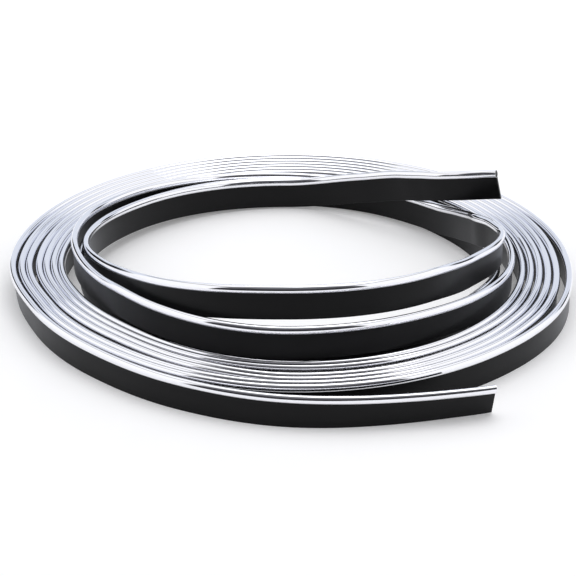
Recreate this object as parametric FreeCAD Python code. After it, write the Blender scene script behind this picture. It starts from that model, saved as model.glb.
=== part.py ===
"""Car side moulding: one flexible strip, a bright bead on a black web, lying as a loose coil.

Millimetres, +Z up. The origin is on the floor under the middle of the coil's bounding box, and -Y is
the coil's front, where the outer end lies. The web stands on its edge with the bead on top.
The strip winds inwards, clockwise from above. Degrees are counted along it from the front of the
first lap, so that each full 360 is back at the front, 90 past it is left and 180 past it the rear.
"""
import FreeCAD, Part
import math
import os

os.makedirs("parts", exist_ok=True)

# Section of the strip
BEAD_WIDTH = 2.5
BEAD_HEIGHT = 2.8
BEAD_CROWN = 1.1
BEAD_CHEEK = 1.1
SEAT_MARGIN = 0.1
WEB_DEPTH = 8.5
WEB_THICKNESS = 0.9

# The strip is laid in short straight chords, which leave their arc by no more than 0.15 mm
CHORDS_PER_LAP = 60
FLAT_WITHIN = 1e-7

# Radius of the first packed lap, and the least air between the beads of two laps side by side
COIL_RADIUS = 95.0
LAP_AIR = 0.15

# The pack is not quite round. Degrees from the front, the first lap's radius there as a share of
# COIL_RADIUS, and the air between laps there in multiples of LAP_AIR
PACK_SIDES = [
    (0, 1.014, 4.7),
    (45, 0.963, 3.6),
    (67, 0.962, 1.45),
    (90, 0.996, 1.7),
    (135, 1.0, 1.3),
    (180, 0.997, 1.0),
    (225, 1.002, 1.7),
    (270, 1.014, 4.5),
    (290, 1.021, 5.5),
    (315, 1.003, 4.1),
    (360, 1.014, 4.7),
]
FIRST_PACKED = 135
LAST_PACKED = 2385

# The outer end falls open: degrees, place, lift, lean. The place is counted in laps inwards from
# the pack's outside, the lift in heights of the strip and the lean in degrees outwards
OUTER_END = [
    (-35, -4.95, 0.03, 17),
    (-27, -3.5, 0.02, 14),
    (-18, -2.4, 0.0, 9),
    (0, -1.15, 0.0, 1),
    (22, -0.27, 0.0, 0),
    (45, 0.0, 0.0, 0),
    (67, 0.1, 0.0, 3),
    (90, 0.42, 0.0, 8),
    (115, 0.12, 0.0, 4),
]

# The last laps climb over the pack at the front and drop back at the rear, and the inner end runs
# off to the right over the others: degrees, place, lift and lean as above
RAISED_LAPS = [
    (2430, 6.15, 0.30, 0),
    (2464, 6.15, 0.73, 0),
    (2486, 6.15, 0.95, 0),
    (2520, 5.72, 1.11, 0),
    (2556, 6.12, 1.08, 0),
    (2568, 6.47, 1.05, 0),
    (2580, 7.15, 0.92, 0),
    (2612, 7.7, 0.80, 0),
    (2648, 7.5, 0.44, 0),
    (2700, 7.55, 0.05, 0),
    (2727, 8.2, 0.0, 0),
    (2741, 8.65, 0.0, 0),
    (2754, 8.75, 0.0, 0),
    (2777, 8.3, 0.01, 0),
    (2794, 7.7, 0.04, 0),
    (2819, 8.1, 0.39, 0),
    (2841, 7.4, 0.88, 0),
    (2880, 7.2, 1.10, 0),
    (2900, 7.2, 0.87, 0),
    (2918, 7.0, 0.51, 0),
    (2941, 8.0, 0.27, 0),
    (2972, 8.46, 0.30, 0),
    (3012, 8.8, 0.12, 0),
    (3060, 8.65, 0.0, 0),
    (3087, 9.25, 0.06, 0),
    (3101, 9.85, 0.14, 0),
    (3114, 9.95, 0.27, 0),
    (3127, 9.7, 0.66, 0),
    (3137, 9.05, 1.03, 0),
    (3154, 7.3, 1.14, 0),
    (3179, 8.5, 1.43, 0),
    (3201, 7.55, 1.90, -3),
    (3240, 7.1, 2.13, -7),
    (3278, 7.2, 1.65, -4),
    (3301, 8.7, 1.17, 0),
    (3332, 9.18, 0.68, 0),
    (3372, 9.9, 0.27, 0),
    (3420, 9.7, 0.05, 0),
    (3447, 11.2, 0.66, 0),
    (3461, 11.1, 1.06, -3),
    (3470, 10.35, 1.29, -5),
    (3479, 8.05, 1.51, -6),
    (3487, 4.6, 1.75, -6),
]


def pack_side(angle):
    """Outer radius of the pack and its pitch from lap to lap, towards one angle."""
    side = angle % 360
    for before, after in zip(PACK_SIDES, PACK_SIDES[1:]):
        if side <= after[0]:
            break
    share = (side - before[0]) / (after[0] - before[0])
    radius = before[1] + (after[1] - before[1]) * share
    air = before[2] + (after[2] - before[2]) * share
    return COIL_RADIUS * radius, BEAD_WIDTH + LAP_AIR * air


def station(angle, place, lift, lean):
    """Angle, and the radius, height and lean of the web's foot there."""
    radius, pitch = pack_side(angle)
    return angle, (radius - pitch * place, lift * (WEB_DEPTH + BEAD_HEIGHT), lean)


def packed_stations():
    """Stations of the laps that lie beside each other on the floor, one towards each side."""
    laps = range(LAST_PACKED // 360 + 1)
    angles = [360 * lap + side[0] for lap in laps for side in PACK_SIDES[:-1]]
    return [
        station(angle, angle // 360, 0.0, 0)
        for angle in angles
        if FIRST_PACKED <= angle <= LAST_PACKED
    ]


def slopes(angles, values):
    """Slope of a smooth curve at each station, level at each peak and dip so that none overshoots."""
    gaps = range(len(angles) - 1)
    straight = [(values[i + 1] - values[i]) / (angles[i + 1] - angles[i]) for i in gaps]
    result = [straight[0]]
    for before, after in zip(straight, straight[1:]):
        turns_back = before * after <= 0
        result.append(0.0 if turns_back else 2 * before * after / (before + after))
    result.append(straight[-1])
    return result


def smooth_value(angle, angles, values, tangents):
    """Cubic curve through the stations, at one angle."""
    i = 0
    while i < len(angles) - 2 and angle > angles[i + 1]:
        i += 1
    span = angles[i + 1] - angles[i]
    s = (angle - angles[i]) / span
    return (
        values[i] * (1 + 2 * s) * (1 - s) ** 2
        + tangents[i] * span * s * (1 - s) ** 2
        + values[i + 1] * s * s * (3 - 2 * s)
        + tangents[i + 1] * span * s * s * (s - 1)
    )


def lay_of_the_strip():
    """Angle of each step along the strip, with the radius, height and lean of the web's foot."""
    stations = [station(*row) for row in OUTER_END]
    stations += packed_stations()
    stations += [station(*row) for row in RAISED_LAPS]
    angles = [angle for angle, values in stations]
    columns = list(zip(*[values for angle, values in stations]))
    tangents = [slopes(angles, values) for values in columns]
    count = round((angles[-1] - angles[0]) / 360.0 * CHORDS_PER_LAP)
    lay = []
    for n in range(count + 1):
        angle = angles[0] + (angles[-1] - angles[0]) * n / count
        lay.append((angle, [smooth_value(angle, angles, columns[k], tangents[k]) for k in range(3)]))
    return lay


def foot_point(angle, radius, height):
    turn = math.radians(angle)
    return FreeCAD.Vector(-radius * math.sin(turn), -radius * math.cos(turn), height)


def frames(lay):
    """Foot of the web, direction across the strip and direction up it, at each step."""
    feet = [foot_point(angle, radius, height) for angle, (radius, height, lean) in lay]
    result = []
    last = len(feet) - 1
    for i, (angle, (radius, height, lean)) in enumerate(lay):
        ahead = feet[min(i + 1, last)] - feet[max(i - 1, 0)]
        ahead.normalize()
        outward = ahead.cross(FreeCAD.Vector(0, 0, 1))
        outward.normalize()
        if outward.dot(feet[i]) < 0:
            outward = outward * -1
        up = outward.cross(ahead)
        if up.z < 0:
            up = up * -1
        tilt = math.radians(lean)
        across = outward * math.cos(tilt) - up * math.sin(tilt)
        rise = up * math.cos(tilt) + outward * math.sin(tilt)
        clear = FreeCAD.Vector(0, 0, WEB_THICKNESS / 2 * abs(math.sin(tilt)))
        result.append((feet[i] + clear, across, rise))
    return result


def side_face(a, b, c, d):
    """Face between one side of the section, a to b, and the same side at the next step, d to c."""
    square = (c - a).cross(d - b).normalize()
    off_plane = max(abs((b - a).dot(square)), abs((d - a).dot(square)))
    if off_plane < FLAT_WITHIN:
        return Part.Face(Part.makePolygon([a, b, c, d, a]))
    return Part.makeRuledSurface(Part.makeLine(a, b), Part.makeLine(d, c))


def swept_solid(section, steps):
    """Solid whose straight-sided section, given as (across, up) corners, follows the strip."""
    outlines = [[foot + across * out + rise * up for out, up in section] for foot, across, rise in steps]
    faces = [Part.Face(Part.makePolygon(end + end[:1])) for end in (outlines[0], outlines[-1])]
    for near, far in zip(outlines, outlines[1:]):
        for i in range(len(section)):
            after = (i + 1) % len(section)
            faces.append(side_face(near[i], near[after], far[after], far[i]))
    skin = Part.makeShell(faces)
    skin.sewShape()
    return Part.Solid(skin)


def web_section():
    half = WEB_THICKNESS / 2
    return [(-half, 0.0), (half, 0.0), (half, WEB_DEPTH), (-half, WEB_DEPTH)]


def bead_section():
    """Oval of eight sides, flat where it sits on the web."""
    seat = WEB_THICKNESS / 2 + SEAT_MARGIN
    shoulder = (BEAD_HEIGHT - BEAD_CHEEK) / 2
    right = [
        (seat, WEB_DEPTH),
        (BEAD_WIDTH / 2, WEB_DEPTH + shoulder),
        (BEAD_WIDTH / 2, WEB_DEPTH + BEAD_HEIGHT - shoulder),
        (BEAD_CROWN / 2, WEB_DEPTH + BEAD_HEIGHT),
    ]
    return right + [(-out, up) for out, up in reversed(right)]


steps = frames(lay_of_the_strip())
pieces = {
    "black_web": swept_solid(web_section(), steps),
    "chrome_bead": swept_solid(bead_section(), steps),
}
box = FreeCAD.BoundBox()
for solid in pieces.values():
    box.add(solid.optimalBoundingBox(False, False))
to_origin = FreeCAD.Vector(-box.Center.x, -box.Center.y, -box.ZMin)
for name, solid in pieces.items():
    solid.translate(to_origin)
    solid.exportStep("parts/" + name + ".step")
print("coil centre", to_origin)
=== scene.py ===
"""Looks of the coiled side moulding: the smooth strip with its bright bead and black web, its cut
ends, the floor, the light and the camera. Metres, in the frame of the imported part.
"""
import math

import bmesh
import bpy
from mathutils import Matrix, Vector


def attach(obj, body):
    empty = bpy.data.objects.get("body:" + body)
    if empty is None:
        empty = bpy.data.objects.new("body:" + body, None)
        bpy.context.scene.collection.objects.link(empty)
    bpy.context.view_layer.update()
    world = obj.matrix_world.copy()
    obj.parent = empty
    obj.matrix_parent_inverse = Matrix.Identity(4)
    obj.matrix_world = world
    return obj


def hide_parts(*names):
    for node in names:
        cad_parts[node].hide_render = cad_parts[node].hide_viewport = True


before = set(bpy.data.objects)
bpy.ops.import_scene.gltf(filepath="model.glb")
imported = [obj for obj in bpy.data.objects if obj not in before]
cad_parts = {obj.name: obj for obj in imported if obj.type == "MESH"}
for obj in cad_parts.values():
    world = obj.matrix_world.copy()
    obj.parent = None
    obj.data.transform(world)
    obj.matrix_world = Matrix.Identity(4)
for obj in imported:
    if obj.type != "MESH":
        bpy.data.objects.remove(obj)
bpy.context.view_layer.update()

MM = 0.001

# Where the coil's centre stands in the part's frame
COIL_CENTRE = Vector((-0.7, 3.1943, 0.0)) * MM

# Section of the strip. The crown is the share of the bead's height above its widest place, the web
# reaches a little way into the bead, and each cut end has a thin rim round its core
BEAD_WIDTH = 2.5 * MM
BEAD_HEIGHT = 2.8 * MM
BEAD_CROWN = 0.62
BEAD_SIDES = 32
BEAD_RIM = 0.12 * MM
WEB_DEPTH = 8.5 * MM
WEB_THICKNESS = 0.9 * MM
WEB_IN_BEAD = 0.3 * MM
WEB_CORNER = 0.12 * MM
WEB_CORNER_STEPS = 2
WEB_RIM = 0.08 * MM
STRIP_HEIGHT = WEB_DEPTH + BEAD_HEIGHT

# Points this close are one, and edges sharper than this stay sharp
SAME_PLACE = 1e-7
SHARP_EDGE = math.radians(20.0)

# Lay of the strip, as the part's source has it but for two raised laps that lie a little lower here:
# at the front right (2819 to 2918 degrees) and at the rear right (3127 to 3146 degrees).
# The pack's sides: degrees from the front, the radius as a share of the coil's and the air between
# laps. The two loose ends: degrees, laps inwards, strip heights up and degrees of outward lean
COIL_RADIUS = 95.0 * MM
LAP_AIR = 0.15 * MM
PACK_SIDES = [
    (0, 1.014, 4.7),
    (45, 0.963, 3.6),
    (67, 0.962, 1.45),
    (90, 0.996, 1.7),
    (135, 1.0, 1.3),
    (180, 0.997, 1.0),
    (225, 1.002, 1.7),
    (270, 1.014, 4.5),
    (290, 1.021, 5.5),
    (315, 1.003, 4.1),
    (360, 1.014, 4.7),
]
FIRST_PACKED = 135
LAST_PACKED = 2385
OUTER_END = [
    (-35, -4.95, 0.03, 17),
    (-27, -3.5, 0.02, 14),
    (-18, -2.4, 0.0, 9),
    (0, -1.15, 0.0, 1),
    (22, -0.27, 0.0, 0),
    (45, 0.0, 0.0, 0),
    (67, 0.1, 0.0, 3),
    (90, 0.42, 0.0, 8),
    (115, 0.12, 0.0, 4),
]
RAISED_LAPS = [
    (2430, 6.15, 0.30, 0),
    (2464, 6.15, 0.73, 0),
    (2486, 6.15, 0.95, 0),
    (2520, 5.72, 1.11, 0),
    (2556, 6.12, 1.08, 0),
    (2568, 6.47, 1.05, 0),
    (2580, 7.15, 0.92, 0),
    (2612, 7.7, 0.80, 0),
    (2648, 7.5, 0.44, 0),
    (2700, 7.55, 0.05, 0),
    (2727, 8.2, 0.0, 0),
    (2741, 8.65, 0.0, 0),
    (2754, 8.75, 0.0, 0),
    (2777, 8.3, 0.01, 0),
    (2794, 7.7, 0.04, 0),
    (2819, 8.1, 0.26, 0),
    (2841, 7.4, 0.50, 0),
    (2880, 7.2, 0.80, 0),
    (2900, 7.2, 0.78, 0),
    (2918, 7.0, 0.51, 0),
    (2941, 8.0, 0.27, 0),
    (2972, 8.46, 0.30, 0),
    (3012, 8.8, 0.12, 0),
    (3060, 8.65, 0.0, 0),
    (3087, 9.25, 0.06, 0),
    (3101, 9.85, 0.14, 0),
    (3114, 9.95, 0.27, 0),
    (3127, 9.8, 0.58, 0),
    (3137, 9.4, 0.86, 0),
    (3146, 8.2, 1.07, 0),
    (3154, 7.3, 1.14, 0),
    (3179, 8.5, 1.43, 0),
    (3201, 7.55, 1.90, -3),
    (3240, 7.1, 2.13, -7),
    (3278, 7.2, 1.65, -4),
    (3301, 8.7, 1.17, 0),
    (3332, 9.18, 0.68, 0),
    (3372, 9.9, 0.27, 0),
    (3420, 9.7, 0.05, 0),
    (3447, 11.2, 0.66, 0),
    (3461, 11.1, 1.06, -3),
    (3470, 10.35, 1.29, -5),
    (3479, 8.05, 1.51, -6),
    (3487, 4.6, 1.75, -6),
]
DEGREES_PER_STEP = 1.5

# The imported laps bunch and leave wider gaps: degrees from the front, and how far each of the seven
# laps lies inwards of its even place there, in multiples of the air between laps. Each lap's value
# at 360 is the next lap's at 0
BUNCHES = [
    (0, (0, 0, -0.8, -1.6, -2.4, 0.8, 0)),
    (20, (0, 0, -0.8, 0.6, -0.2, 0.6, 0)),
    (45, (0, 0.6, 0.0, 2.2, 1.6, 1.0, 0.4)),
    (90, (0, 0.6, 0.0, 2.2, 1.6, 1.0, 0.4)),
    (135, (0, 0, 0, 0, 0, 0, 0)),
    (225, (0, 0, 0, 0, 0, 0, 0)),
    (270, (0, 1.6, 1.2, 0.8, 0.4, 0, 0)),
    (300, (0, 0.9, 0.6, 0.4, 0.2, 0, 0)),
    (315, (0, -0.1, -0.5, -0.9, 0.4, 0, 0)),
    (340, (0, -0.8, -1.6, -2.4, 0.8, 0, 0)),
    (360, (0, -0.8, -1.6, -2.4, 0.8, 0, 0)),
]

# The smooth laps bulge past the source's chords, so each is drawn this much further in
INSIDE_BOX = 0.06 * MM

# Marks on the film are this many times as long as they are wide
DRAWN_STRETCH = 60.0

# The tent is a dome cut off a little below the table, and the floor is a square
TENT_RADIUS = 2.5
TENT_SEGMENTS = 64
TENT_RINGS = 32
TENT_HEM = -0.3
FLOOR_HALF = 3.0
FLOOR_GLOW = 0.2
LAMP_PLACE = Vector((0.1, 0.1, 1.2))
LAMP_SIDE = 0.8
LAMP_WATTS = 3.0

# The camera looks down at the coil's centre as the photograph does
CAMERA_ELEVATION = math.radians(25.5)
CAMERA_DISTANCE = 0.8633
FOCAL_LENGTH_PIXELS = 2492
FRAME_PIXELS = 576
SENSOR_WIDTH = 36.0
NEAREST_SEEN = 0.01


def rows_beside(angle, table):
    """Rows of a table before and after an angle, and the share of the way between them."""
    side = angle % 360
    for before, after in zip(table, table[1:]):
        if side <= after[0]:
            break
    return before, after, (side - before[0]) / (after[0] - before[0])


def between(first, second, share):
    return first + (second - first) * share


def pack_side(angle):
    """Outer radius of the pack and its pitch from lap to lap, towards one angle."""
    before, after, share = rows_beside(angle, PACK_SIDES)
    radius = between(before[1], after[1], share)
    air = between(before[2], after[2], share)
    return COIL_RADIUS * radius, BEAD_WIDTH + LAP_AIR * air


def station(angle, place, lift, lean):
    """Angle, and the radius, height and lean of the web's foot there."""
    radius, pitch = pack_side(angle)
    return angle, (radius - pitch * place, lift * STRIP_HEIGHT, lean)


def packed_stations():
    """Stations of the laps that lie beside each other on the floor, one towards each side."""
    laps = range(LAST_PACKED // 360 + 1)
    angles = [360 * lap + side[0] for lap in laps for side in PACK_SIDES[:-1]]
    return [
        station(angle, angle // 360, 0.0, 0)
        for angle in angles
        if FIRST_PACKED <= angle <= LAST_PACKED
    ]


def slopes(angles, values):
    """Slope of a smooth curve at each station, level at each peak and dip."""
    gaps = range(len(angles) - 1)
    straight = [(values[i + 1] - values[i]) / (angles[i + 1] - angles[i]) for i in gaps]
    result = [straight[0]]
    for before, after in zip(straight, straight[1:]):
        turns_back = before * after <= 0
        result.append(0.0 if turns_back else 2 * before * after / (before + after))
    result.append(straight[-1])
    return result


def smooth_value(angle, angles, values, tangents):
    """Cubic curve through the stations, at one angle."""
    i = 0
    while i < len(angles) - 2 and angle > angles[i + 1]:
        i += 1
    span = angles[i + 1] - angles[i]
    s = (angle - angles[i]) / span
    return (
        values[i] * (1 + 2 * s) * (1 - s) ** 2
        + tangents[i] * span * s * (1 - s) ** 2
        + values[i + 1] * s * s * (3 - 2 * s)
        + tangents[i + 1] * span * s * s * (s - 1)
    )


def stray(angle):
    """How far inwards a packed lap lies from its even place, so that laps bunch as the photo shows."""
    if not FIRST_PACKED <= angle <= LAST_PACKED:
        return 0.0
    before, after, share = rows_beside(angle, BUNCHES)
    share = share * share * (3 - 2 * share)
    lap = int(angle // 360)
    radius, pitch = pack_side(angle)
    return (pitch - BEAD_WIDTH) * between(before[1][lap], after[1][lap], share)


def lay_of_the_strip():
    """Foot of the web and its outward lean in radians, at each step along the strip."""
    stations = [station(*row) for row in OUTER_END]
    stations += packed_stations()
    stations += [station(*row) for row in RAISED_LAPS]
    angles = [angle for angle, values in stations]
    columns = list(zip(*[values for angle, values in stations]))
    tangents = [slopes(angles, values) for values in columns]
    count = round((angles[-1] - angles[0]) / DEGREES_PER_STEP)
    lay = []
    for n in range(count + 1):
        angle = angles[0] + (angles[-1] - angles[0]) * n / count
        radius, height, lean = [
            smooth_value(angle, angles, columns[k], tangents[k]) for k in range(3)
        ]
        turn = math.radians(angle)
        lean = math.radians(lean)
        height += WEB_THICKNESS / 2 * abs(math.sin(lean))
        radius -= INSIDE_BOX + stray(angle)
        foot = Vector((-radius * math.sin(turn), -radius * math.cos(turn), height))
        lay.append((foot + COIL_CENTRE, lean))
    return lay


class Wire:
    """A node's output that takes part in Python expressions."""

    def __init__(self, graph, socket):
        self.graph = graph
        self.socket = socket

    def maths(self, operation, *values):
        settings = {"operation": operation}
        return self.graph.node("ShaderNodeMath", settings, dict(enumerate(values)))

    def __add__(self, other):
        return self.maths("ADD", self, other)

    def __radd__(self, other):
        return self.maths("ADD", other, self)

    def __sub__(self, other):
        return self.maths("SUBTRACT", self, other)

    def __rsub__(self, other):
        return self.maths("SUBTRACT", other, self)

    def __mul__(self, other):
        return self.maths("MULTIPLY", self, other)

    def __rmul__(self, other):
        return self.maths("MULTIPLY", other, self)

    def __truediv__(self, other):
        return self.maths("DIVIDE", self, other)

    def __rtruediv__(self, other):
        return self.maths("DIVIDE", other, self)

    def larger(self, other):
        return self.maths("MAXIMUM", self, other)

    def smaller(self, other):
        return self.maths("MINIMUM", self, other)

    def size(self):
        return self.maths("ABSOLUTE", self)

    def clamped(self):
        settings = {"operation": "ADD", "use_clamp": True}
        return self.graph.node("ShaderNodeMath", settings, {0: self, 1: 0.0})

    def rises(self, start, end):
        """0 up to start, 1 from end on, and even in between."""
        return ((self - start) / (end - start)).clamped()

    def falls(self, start, end):
        """1 up to start, 0 from end on, and even in between."""
        return ((end - self) / (end - start)).clamped()


class Graph:
    """A node tree that is filled one node at a time."""

    def __init__(self, tree):
        self.tree = tree
        tree.nodes.clear()

    def node(self, kind, settings=None, inputs=None, output=0):
        node = self.tree.nodes.new(kind)
        for name, value in (settings or {}).items():
            if name == "stops":
                self.set_stops(node.color_ramp, value)
            else:
                setattr(node, name, value)
        for key, value in (inputs or {}).items():
            if isinstance(value, Wire):
                self.tree.links.new(value.socket, node.inputs[key])
            else:
                node.inputs[key].default_value = value
        return Wire(self, node.outputs[output]) if len(node.outputs) else None

    @staticmethod
    def set_stops(ramp, stops):
        while len(ramp.elements) < len(stops):
            ramp.elements.new(1.0)
        for element, (position, colour) in zip(ramp.elements, stops):
            element.position = position
            element.color = (*colour, 1.0)


def noise(g, place, scale, detail):
    return g.node("ShaderNodeTexNoise", inputs={"Vector": place, "Scale": scale, "Detail": detail})


def bump(g, relief, strength, distance):
    inputs = {"Strength": strength, "Distance": distance, "Height": relief}
    return g.node("ShaderNodeBump", inputs=inputs)


def blend(g, share, first, second):
    """Colour that goes from the first to the second as share goes from 0 to 1."""
    ends = [value if isinstance(value, Wire) else (*value, 1.0) for value in (first, second)]
    inputs = {0: share, 6: ends[0], 7: ends[1]}
    return g.node("ShaderNodeMix", {"data_type": "RGBA"}, inputs, output=2)


def axes(g, vector):
    """The three numbers of a vector."""
    return [g.node("ShaderNodeSeparateXYZ", inputs={0: vector}, output=axis) for axis in "XYZ"]


def material_graph(name):
    material = bpy.data.materials.new(name)
    material.use_nodes = True
    return material, Graph(material.node_tree)


def add_surface(g, shader):
    g.node("ShaderNodeOutputMaterial", inputs={"Surface": shader})


def drawn_place(g):
    """Place on the strip's skin, with the length along it shortened so that marks run along it."""
    along = g.node("ShaderNodeAttribute", {"attribute_name": "along"}, output="Fac")
    around = g.node("ShaderNodeAttribute", {"attribute_name": "around"}, output="Fac")
    return g.node("ShaderNodeCombineXYZ", inputs={0: along / DRAWN_STRETCH, 1: around})


def bright_film():
    """Mirror-bright film: long drawn ridges from the forming, fine scuffs and a hint of haze."""
    material, g = material_graph("bright_film")
    place = g.node("ShaderNodeTexCoord", output="Object")
    drawn = drawn_place(g)
    ridges = noise(g, drawn, 900.0, 2.0)
    scuffs = noise(g, place, 2600.0, 3.0)
    haze = noise(g, drawn, 420.0, 2.0)
    shader = g.node(
        "ShaderNodeBsdfPrincipled",
        inputs={
            "Base Color": blend(g, haze, (0.84, 0.85, 0.90), (0.92, 0.92, 0.95)),
            "Metallic": 1.0,
            "Roughness": 0.02 + haze * 0.05,
            "Normal": bump(g, ridges + scuffs * 0.004, 1.0, 0.02 * MM),
        },
    )
    add_surface(g, shader)
    return material


def black_pvc():
    """Satin black PVC: fine extrusion grain, soft flow marks and a few dull rubs."""
    material, g = material_graph("black_pvc")
    place = g.node("ShaderNodeTexCoord", output="Object")
    grain = noise(g, place, 5200.0, 2.0)
    flow = noise(g, place, 90.0, 2.0)
    rubs = noise(g, place, 700.0, 4.0)
    shader = g.node(
        "ShaderNodeBsdfPrincipled",
        inputs={
            "Base Color": blend(g, flow, (0.0020, 0.0020, 0.0024), (0.0046, 0.0046, 0.0054)),
            "Roughness": 0.28 + flow * 0.10 + rubs * 0.08,
            "Specular IOR Level": 0.15,
            "Sheen Weight": 0.35,
            "Sheen Roughness": 0.35,
            "Sheen Tint": (0.92, 0.94, 1.0, 1.0),
            "Normal": bump(g, grain * 0.4 + rubs * 0.4, 0.2, 0.03 * MM),
        },
    )
    add_surface(g, shader)
    return material


def cut_pvc():
    """The sawn end of the black core: greyer and rougher than the drawn faces."""
    material, g = material_graph("cut_pvc")
    place = g.node("ShaderNodeTexCoord", output="Object")
    torn = noise(g, place, 3500.0, 4.0)
    shader = g.node(
        "ShaderNodeBsdfPrincipled",
        inputs={
            "Base Color": blend(g, torn, (0.012, 0.012, 0.013), (0.060, 0.060, 0.064)),
            "Roughness": 0.5 + torn * 0.3,
            "Normal": bump(g, torn, 0.6, 0.08 * MM),
        },
    )
    add_surface(g, shader)
    return material


def placed(name, data):
    """New object with this data, in the scene."""
    thing = bpy.data.objects.new(name, data)
    bpy.context.scene.collection.objects.link(thing)
    return thing


def strip_path(name, lay):
    """Line of the web's foot as a curve whose normals stay level and lean with the strip."""
    curve = bpy.data.curves.new(name, "CURVE")
    curve.dimensions = "3D"
    curve.twist_mode = "Z_UP"
    spline = curve.splines.new("POLY")
    spline.points.add(len(lay) - 1)
    for point, (foot, lean) in zip(spline.points, lay):
        point.co = (*foot, 1.0)
        point.tilt = -lean
    return placed(name, curve)


def new_tree(name, inputs):
    """Geometry tree with a path as its input, the named values and a geometry output."""
    tree = bpy.data.node_groups.new(name, "GeometryNodeTree")
    g = Graph(tree)
    face = tree.interface
    face.new_socket("Path", in_out="INPUT", socket_type="NodeSocketGeometry")
    for label, kind in inputs:
        face.new_socket(label, in_out="INPUT", socket_type=kind)
    face.new_socket("Strip", in_out="OUTPUT", socket_type="NodeSocketGeometry")
    entry = tree.nodes.new("NodeGroupInput")
    given = {socket.name: Wire(g, socket) for socket in entry.outputs if socket.name}
    return tree, g, given


def mark_length(g, curve, label):
    """Keeps the length run along a curve as a named attribute, in metres."""
    run = g.node("GeometryNodeSplineParameter", output="Length")
    return g.node(
        "GeometryNodeStoreNamedAttribute",
        {"data_type": "FLOAT", "domain": "POINT"},
        {"Geometry": curve, "Name": label, "Value": run},
    )


def close_sweep(g, path, profile, material):
    """Sweeps the profile along the path, capped, as real geometry with its material."""
    swept = g.node(
        "GeometryNodeCurveToMesh",
        inputs={
            "Curve": mark_length(g, path, "along"),
            "Profile Curve": mark_length(g, profile, "around"),
            "Fill Caps": True,
        },
    )
    real = g.node("GeometryNodeRealizeInstances", inputs={"Geometry": swept})
    painted = g.node("GeometryNodeSetMaterial", inputs={"Geometry": real, "Material": material})
    g.node("NodeGroupOutput", inputs={0: painted})


def web_tree():
    """Sweep of the flat web: a rectangle with softened corners, standing on the path. A profile's
    +Y points down."""
    tree, g, given = new_tree(
        "web_sweep",
        [
            ("Thickness", "NodeSocketFloat"),
            ("Depth", "NodeSocketFloat"),
            ("Corner", "NodeSocketFloat"),
            ("Material", "NodeSocketMaterial"),
        ],
    )
    plate = g.node(
        "GeometryNodeCurvePrimitiveQuadrilateral",
        {"mode": "RECTANGLE"},
        {0: given["Thickness"], 1: given["Depth"]},
    )
    soft = g.node(
        "GeometryNodeFilletCurve",
        {"mode": "POLY"},
        {"Curve": plate, "Radius": given["Corner"], "Count": WEB_CORNER_STEPS},
    )
    middle = g.node("ShaderNodeCombineXYZ", inputs={"Y": given["Depth"] * -0.5})
    raised = g.node("GeometryNodeTransform", inputs={"Geometry": soft, "Translation": middle})
    close_sweep(g, given["Path"], raised, given["Material"])
    return tree


def bead_tree():
    """Sweep of the bead: an oval with a high crown, which sits on the web's upper edge. A profile's
    +Y points down."""
    tree, g, given = new_tree(
        "bead_sweep",
        [
            ("Width", "NodeSocketFloat"),
            ("Height", "NodeSocketFloat"),
            ("Crown", "NodeSocketFloat"),
            ("Seat", "NodeSocketFloat"),
            ("Sides", "NodeSocketInt"),
            ("Material", "NodeSocketMaterial"),
        ],
    )
    ring = g.node("GeometryNodeCurvePrimitiveCircle", inputs={0: given["Sides"], "Radius": 1.0})
    across, drop, along = axes(g, g.node("GeometryNodeInputPosition"))
    cheek = 1.0 - given["Crown"]
    height = drop.smaller(0.0) * given["Crown"] + drop.larger(0.0) * cheek
    oval = g.node(
        "ShaderNodeCombineXYZ",
        inputs={
            "X": across * given["Width"] * 0.5,
            "Y": (height - cheek) * given["Height"] - given["Seat"],
        },
    )
    raised = g.node("GeometryNodeSetPosition", inputs={"Geometry": ring, "Position": oval})
    close_sweep(g, given["Path"], raised, given["Material"])
    return tree


def swept_piece(name, tree, values, lay, materials):
    """Runs one tree along the strip and keeps the result as a plain mesh."""
    path = strip_path(name + "_path", lay)
    modifier = path.modifiers.new("sweep", "NODES")
    modifier.node_group = tree
    for item in tree.interface.items_tree:
        if item.in_out == "INPUT" and item.name in values:
            modifier[item.identifier] = values[item.name]
    seen = path.evaluated_get(bpy.context.evaluated_depsgraph_get())
    mesh = bpy.data.meshes.new_from_object(seen)
    bpy.data.objects.remove(path)
    mesh.name = name
    mesh.materials.clear()
    for material in materials:
        mesh.materials.append(material)
    return placed(name, mesh)


def finish_ends(piece, rim):
    """Insets the two cut faces so that the core shows inside a thin rim, and smooths the rest."""
    shape = bmesh.new()
    shape.from_mesh(piece.data)
    bmesh.ops.remove_doubles(shape, verts=shape.verts, dist=SAME_PLACE)
    bmesh.ops.recalc_face_normals(shape, faces=shape.faces)
    ends = [face for face in shape.faces if len(face.verts) > 4]
    for face in shape.faces:
        face.smooth = len(face.verts) == 4
    for face in ends:
        bmesh.ops.inset_region(shape, faces=[face], thickness=rim, depth=0.0)
        face.material_index = 1
    for edge in shape.edges:
        if edge.calc_face_angle(0.0) > SHARP_EDGE:
            edge.smooth = False
    shape.to_mesh(piece.data)
    shape.free()


def world_light():
    """Plain white world behind the tent."""
    world = bpy.data.worlds.new("studio")
    bpy.context.scene.world = world
    world.use_nodes = True
    g = Graph(world.node_tree)
    glow = g.node("ShaderNodeBackground", inputs={"Color": (1.0, 1.0, 1.0, 1.0), "Strength": 1.0})
    g.node("ShaderNodeOutputWorld", inputs={"Surface": glow})


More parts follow.
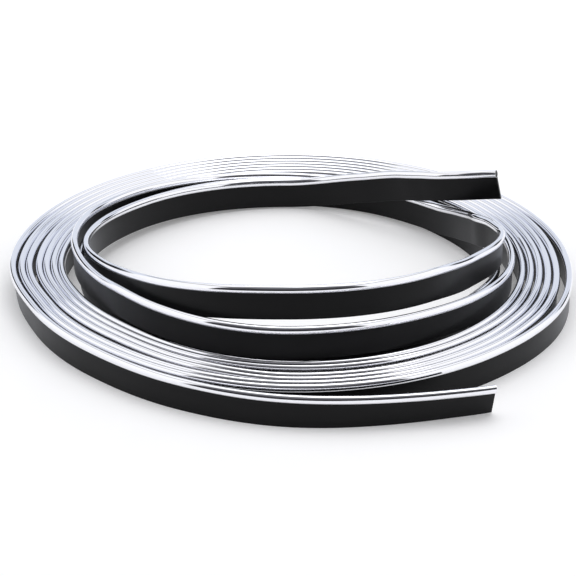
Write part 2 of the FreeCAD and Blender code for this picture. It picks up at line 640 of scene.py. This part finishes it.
def tent_colour(g):
    """Light of the tent in each direction: white, but pale blue at the low rear, with a dark gap on
    either side of that, a front that darkens from the ceiling down to the table's edge, and a thin
    dark seam that climbs each side."""
    place = g.node("ShaderNodeTexCoord", output="Object")
    direction = g.node("ShaderNodeVectorMath", {"operation": "NORMALIZE"}, {0: place})
    across, forth, up = axes(g, direction)
    rear = forth.rises(0.42, 0.58) * up.falls(0.55, 0.80)
    front = (forth + (across + 0.096).size()).falls(0.016, 0.096)
    climb = (up / (0.86 - forth).larger(0.02)).clamped()
    fall = g.node(
        "ShaderNodeValToRGB",
        {
            "stops": [
                (0.0, (0.006, 0.006, 0.008)),
                (0.15, (0.035, 0.033, 0.036)),
                (0.35, (0.12, 0.12, 0.13)),
                (0.60, (0.27, 0.27, 0.28)),
                (0.86, (0.62, 0.62, 0.64)),
                (0.96, (1.0, 1.0, 1.0)),
            ]
        },
        {0: climb},
    )
    walls = blend(g, rear, (1.12, 1.12, 1.13), (0.80, 0.84, 0.92))
    cloth = blend(g, front, walls, fall)
    left_gap = across.rises(-0.86, -0.82) * across.falls(-0.50, -0.46)
    right_gap = across.rises(0.64, 0.68) * across.falls(0.80, 0.84)
    low = up.falls(0.24, 0.30) * forth.rises(0.0, 0.10)
    seam = (across.size() - up * 0.78).size().falls(0.0, 0.10) * up.rises(0.40, 0.50)
    dark = ((left_gap + right_gap) * low * 0.98).larger(seam * 0.8)
    return blend(g, dark, cloth, (0.0, 0.0, 0.0))


def light_tent():
    """Tent of soft light round the table, out of the camera's sight."""
    material, g = material_graph("tent_light")
    add_surface(g, g.node("ShaderNodeEmission", inputs={"Color": tent_colour(g), "Strength": 1.0}))
    shape = bmesh.new()
    bmesh.ops.create_uvsphere(
        shape, u_segments=TENT_SEGMENTS, v_segments=TENT_RINGS, radius=TENT_RADIUS
    )
    below = [vert for vert in shape.verts if vert.co.z < TENT_HEM]
    bmesh.ops.delete(shape, geom=below, context="VERTS")
    mesh = bpy.data.meshes.new("light_tent")
    shape.to_mesh(mesh)
    shape.free()
    mesh.materials.append(material)
    tent = placed("light_tent", mesh)
    tent.visible_camera = False


def studio_floor():
    """White floor that keeps the coil's soft shadow."""
    material, g = material_graph("floor_white")
    place = g.node("ShaderNodeTexCoord", output="Object")
    tint = blend(g, noise(g, place, 60.0, 2.0), (0.86, 0.86, 0.87), (0.88, 0.88, 0.89))
    paper = g.node("ShaderNodeBsdfDiffuse", inputs={"Color": tint})
    glow = g.node(
        "ShaderNodeEmission", inputs={"Color": (1.0, 1.0, 1.0, 1.0), "Strength": FLOOR_GLOW}
    )
    add_surface(g, g.node("ShaderNodeAddShader", inputs={0: paper, 1: glow}))
    mesh = bpy.data.meshes.new("studio_floor")
    half = FLOOR_HALF
    corners = [(-half, -half, 0), (half, -half, 0), (half, half, 0), (-half, half, 0)]
    mesh.from_pydata(corners, [], [(0, 1, 2, 3)])
    mesh.materials.append(material)
    placed("studio_floor", mesh)


def ceiling_light():
    """The one lamp, a wide soft panel that looks down at the coil."""
    lamp = bpy.data.lights.new("ceiling_light", "AREA")
    lamp.shape = "RECTANGLE"
    lamp.size = LAMP_SIDE
    lamp.size_y = LAMP_SIDE
    lamp.energy = LAMP_WATTS
    stand = placed("ceiling_light", lamp)
    stand.location = LAMP_PLACE
    stand.rotation_euler = (-LAMP_PLACE).to_track_quat("-Z", "Y").to_euler()


def photo_camera():
    """Camera at the photograph's viewing angle, aimed at the coil's centre."""
    view = Vector((0.0, -math.cos(CAMERA_ELEVATION), math.sin(CAMERA_ELEVATION)))
    data = bpy.data.cameras.new("photo_camera")
    data.sensor_width = SENSOR_WIDTH
    data.lens = FOCAL_LENGTH_PIXELS / FRAME_PIXELS * SENSOR_WIDTH
    data.clip_start = NEAREST_SEEN
    camera = placed("photo_camera", data)
    camera.location = COIL_CENTRE + view * CAMERA_DISTANCE
    camera.rotation_euler = (-view).to_track_quat("-Z", "Y").to_euler()
    bpy.context.scene.camera = camera


photo_camera()
strip_lay = lay_of_the_strip()
film = bright_film()
pvc = black_pvc()
cut = cut_pvc()

web = swept_piece(
    "edging_web",
    web_tree(),
    {
        "Thickness": WEB_THICKNESS,
        "Depth": WEB_DEPTH + WEB_IN_BEAD,
        "Corner": WEB_CORNER,
        "Material": pvc,
    },
    strip_lay,
    [pvc, cut],
)
bead = swept_piece(
    "bright_bead",
    bead_tree(),
    {
        "Width": BEAD_WIDTH,
        "Height": BEAD_HEIGHT,
        "Crown": BEAD_CROWN,
        "Seat": WEB_DEPTH,
        "Sides": BEAD_SIDES,
        "Material": film,
    },
    strip_lay,
    [film, cut],
)
finish_ends(web, WEB_RIM)
finish_ends(bead, BEAD_RIM)

for piece, node, slot in ((web, "black_web", "black_pvc"), (bead, "chrome_bead", "chrome_film")):
    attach(piece, "root")
    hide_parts(node)

world_light()
light_tent()
studio_floor()
ceiling_light()

bpy.context.scene.view_settings.view_transform = "Standard"
